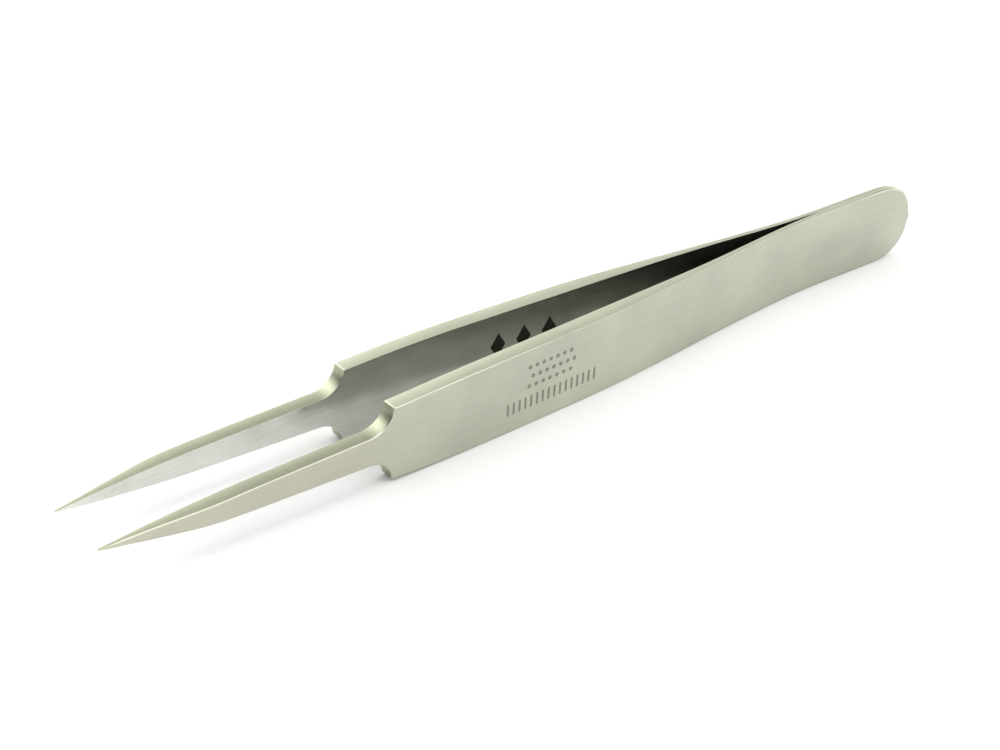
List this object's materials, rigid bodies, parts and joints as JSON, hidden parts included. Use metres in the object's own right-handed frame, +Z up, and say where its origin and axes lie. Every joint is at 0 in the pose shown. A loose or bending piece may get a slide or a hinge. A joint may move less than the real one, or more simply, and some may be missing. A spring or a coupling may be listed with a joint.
{
  "type": "precision tweezers",
  "caption": "Fine-pointed steel tweezers: two sprung leaves welded at a round heel, with a wide grip, stepped notches and narrow blades that taper to needle points.",
  "frame": {"origin": "middle of the length, on the middle plane between the leaves, on the plane that their lower long edges stand on", "axes": "+X from the points to the heel, +Y across the gap from the front leaf to the rear leaf, +Z up the width of the leaves"},
  "size_m": [0.11, 0.0106, 0.0092],
  "materials": {
    "satin_steel": "satin stainless steel, brushed along the leaf",
    "weld_steel": "fused stainless steel, hidden between the leaves"
  },
  "bodies": {
    "heel": {"front_heel": "satin_steel", "rear_heel": "satin_steel", "weld_nuggets": "weld_steel"},
    "front_arm": {"front_arm": "satin_steel"},
    "rear_arm": {"rear_arm": "satin_steel"}
  },
  "joints": [
    {"name": "front_arm_flex", "type": "hinge", "parent": "heel", "child": "front_arm", "pos_m": [0.029, -0.00134, 0.0046], "axis": [0, 0, -1], "range_deg": [0, 2.52], "stiffness_Nm_per_rad": 1},
    {"name": "rear_arm_flex", "type": "hinge", "parent": "heel", "child": "rear_arm", "pos_m": [0.029, 0.00134, 0.0046], "axis": [0, 0, 1], "range_deg": [0, 2.52], "stiffness_Nm_per_rad": 1}
  ],
  "couplings": [
    {"joint": "rear_arm_flex", "follows": "front_arm_flex", "ratio": 1}
  ]
}
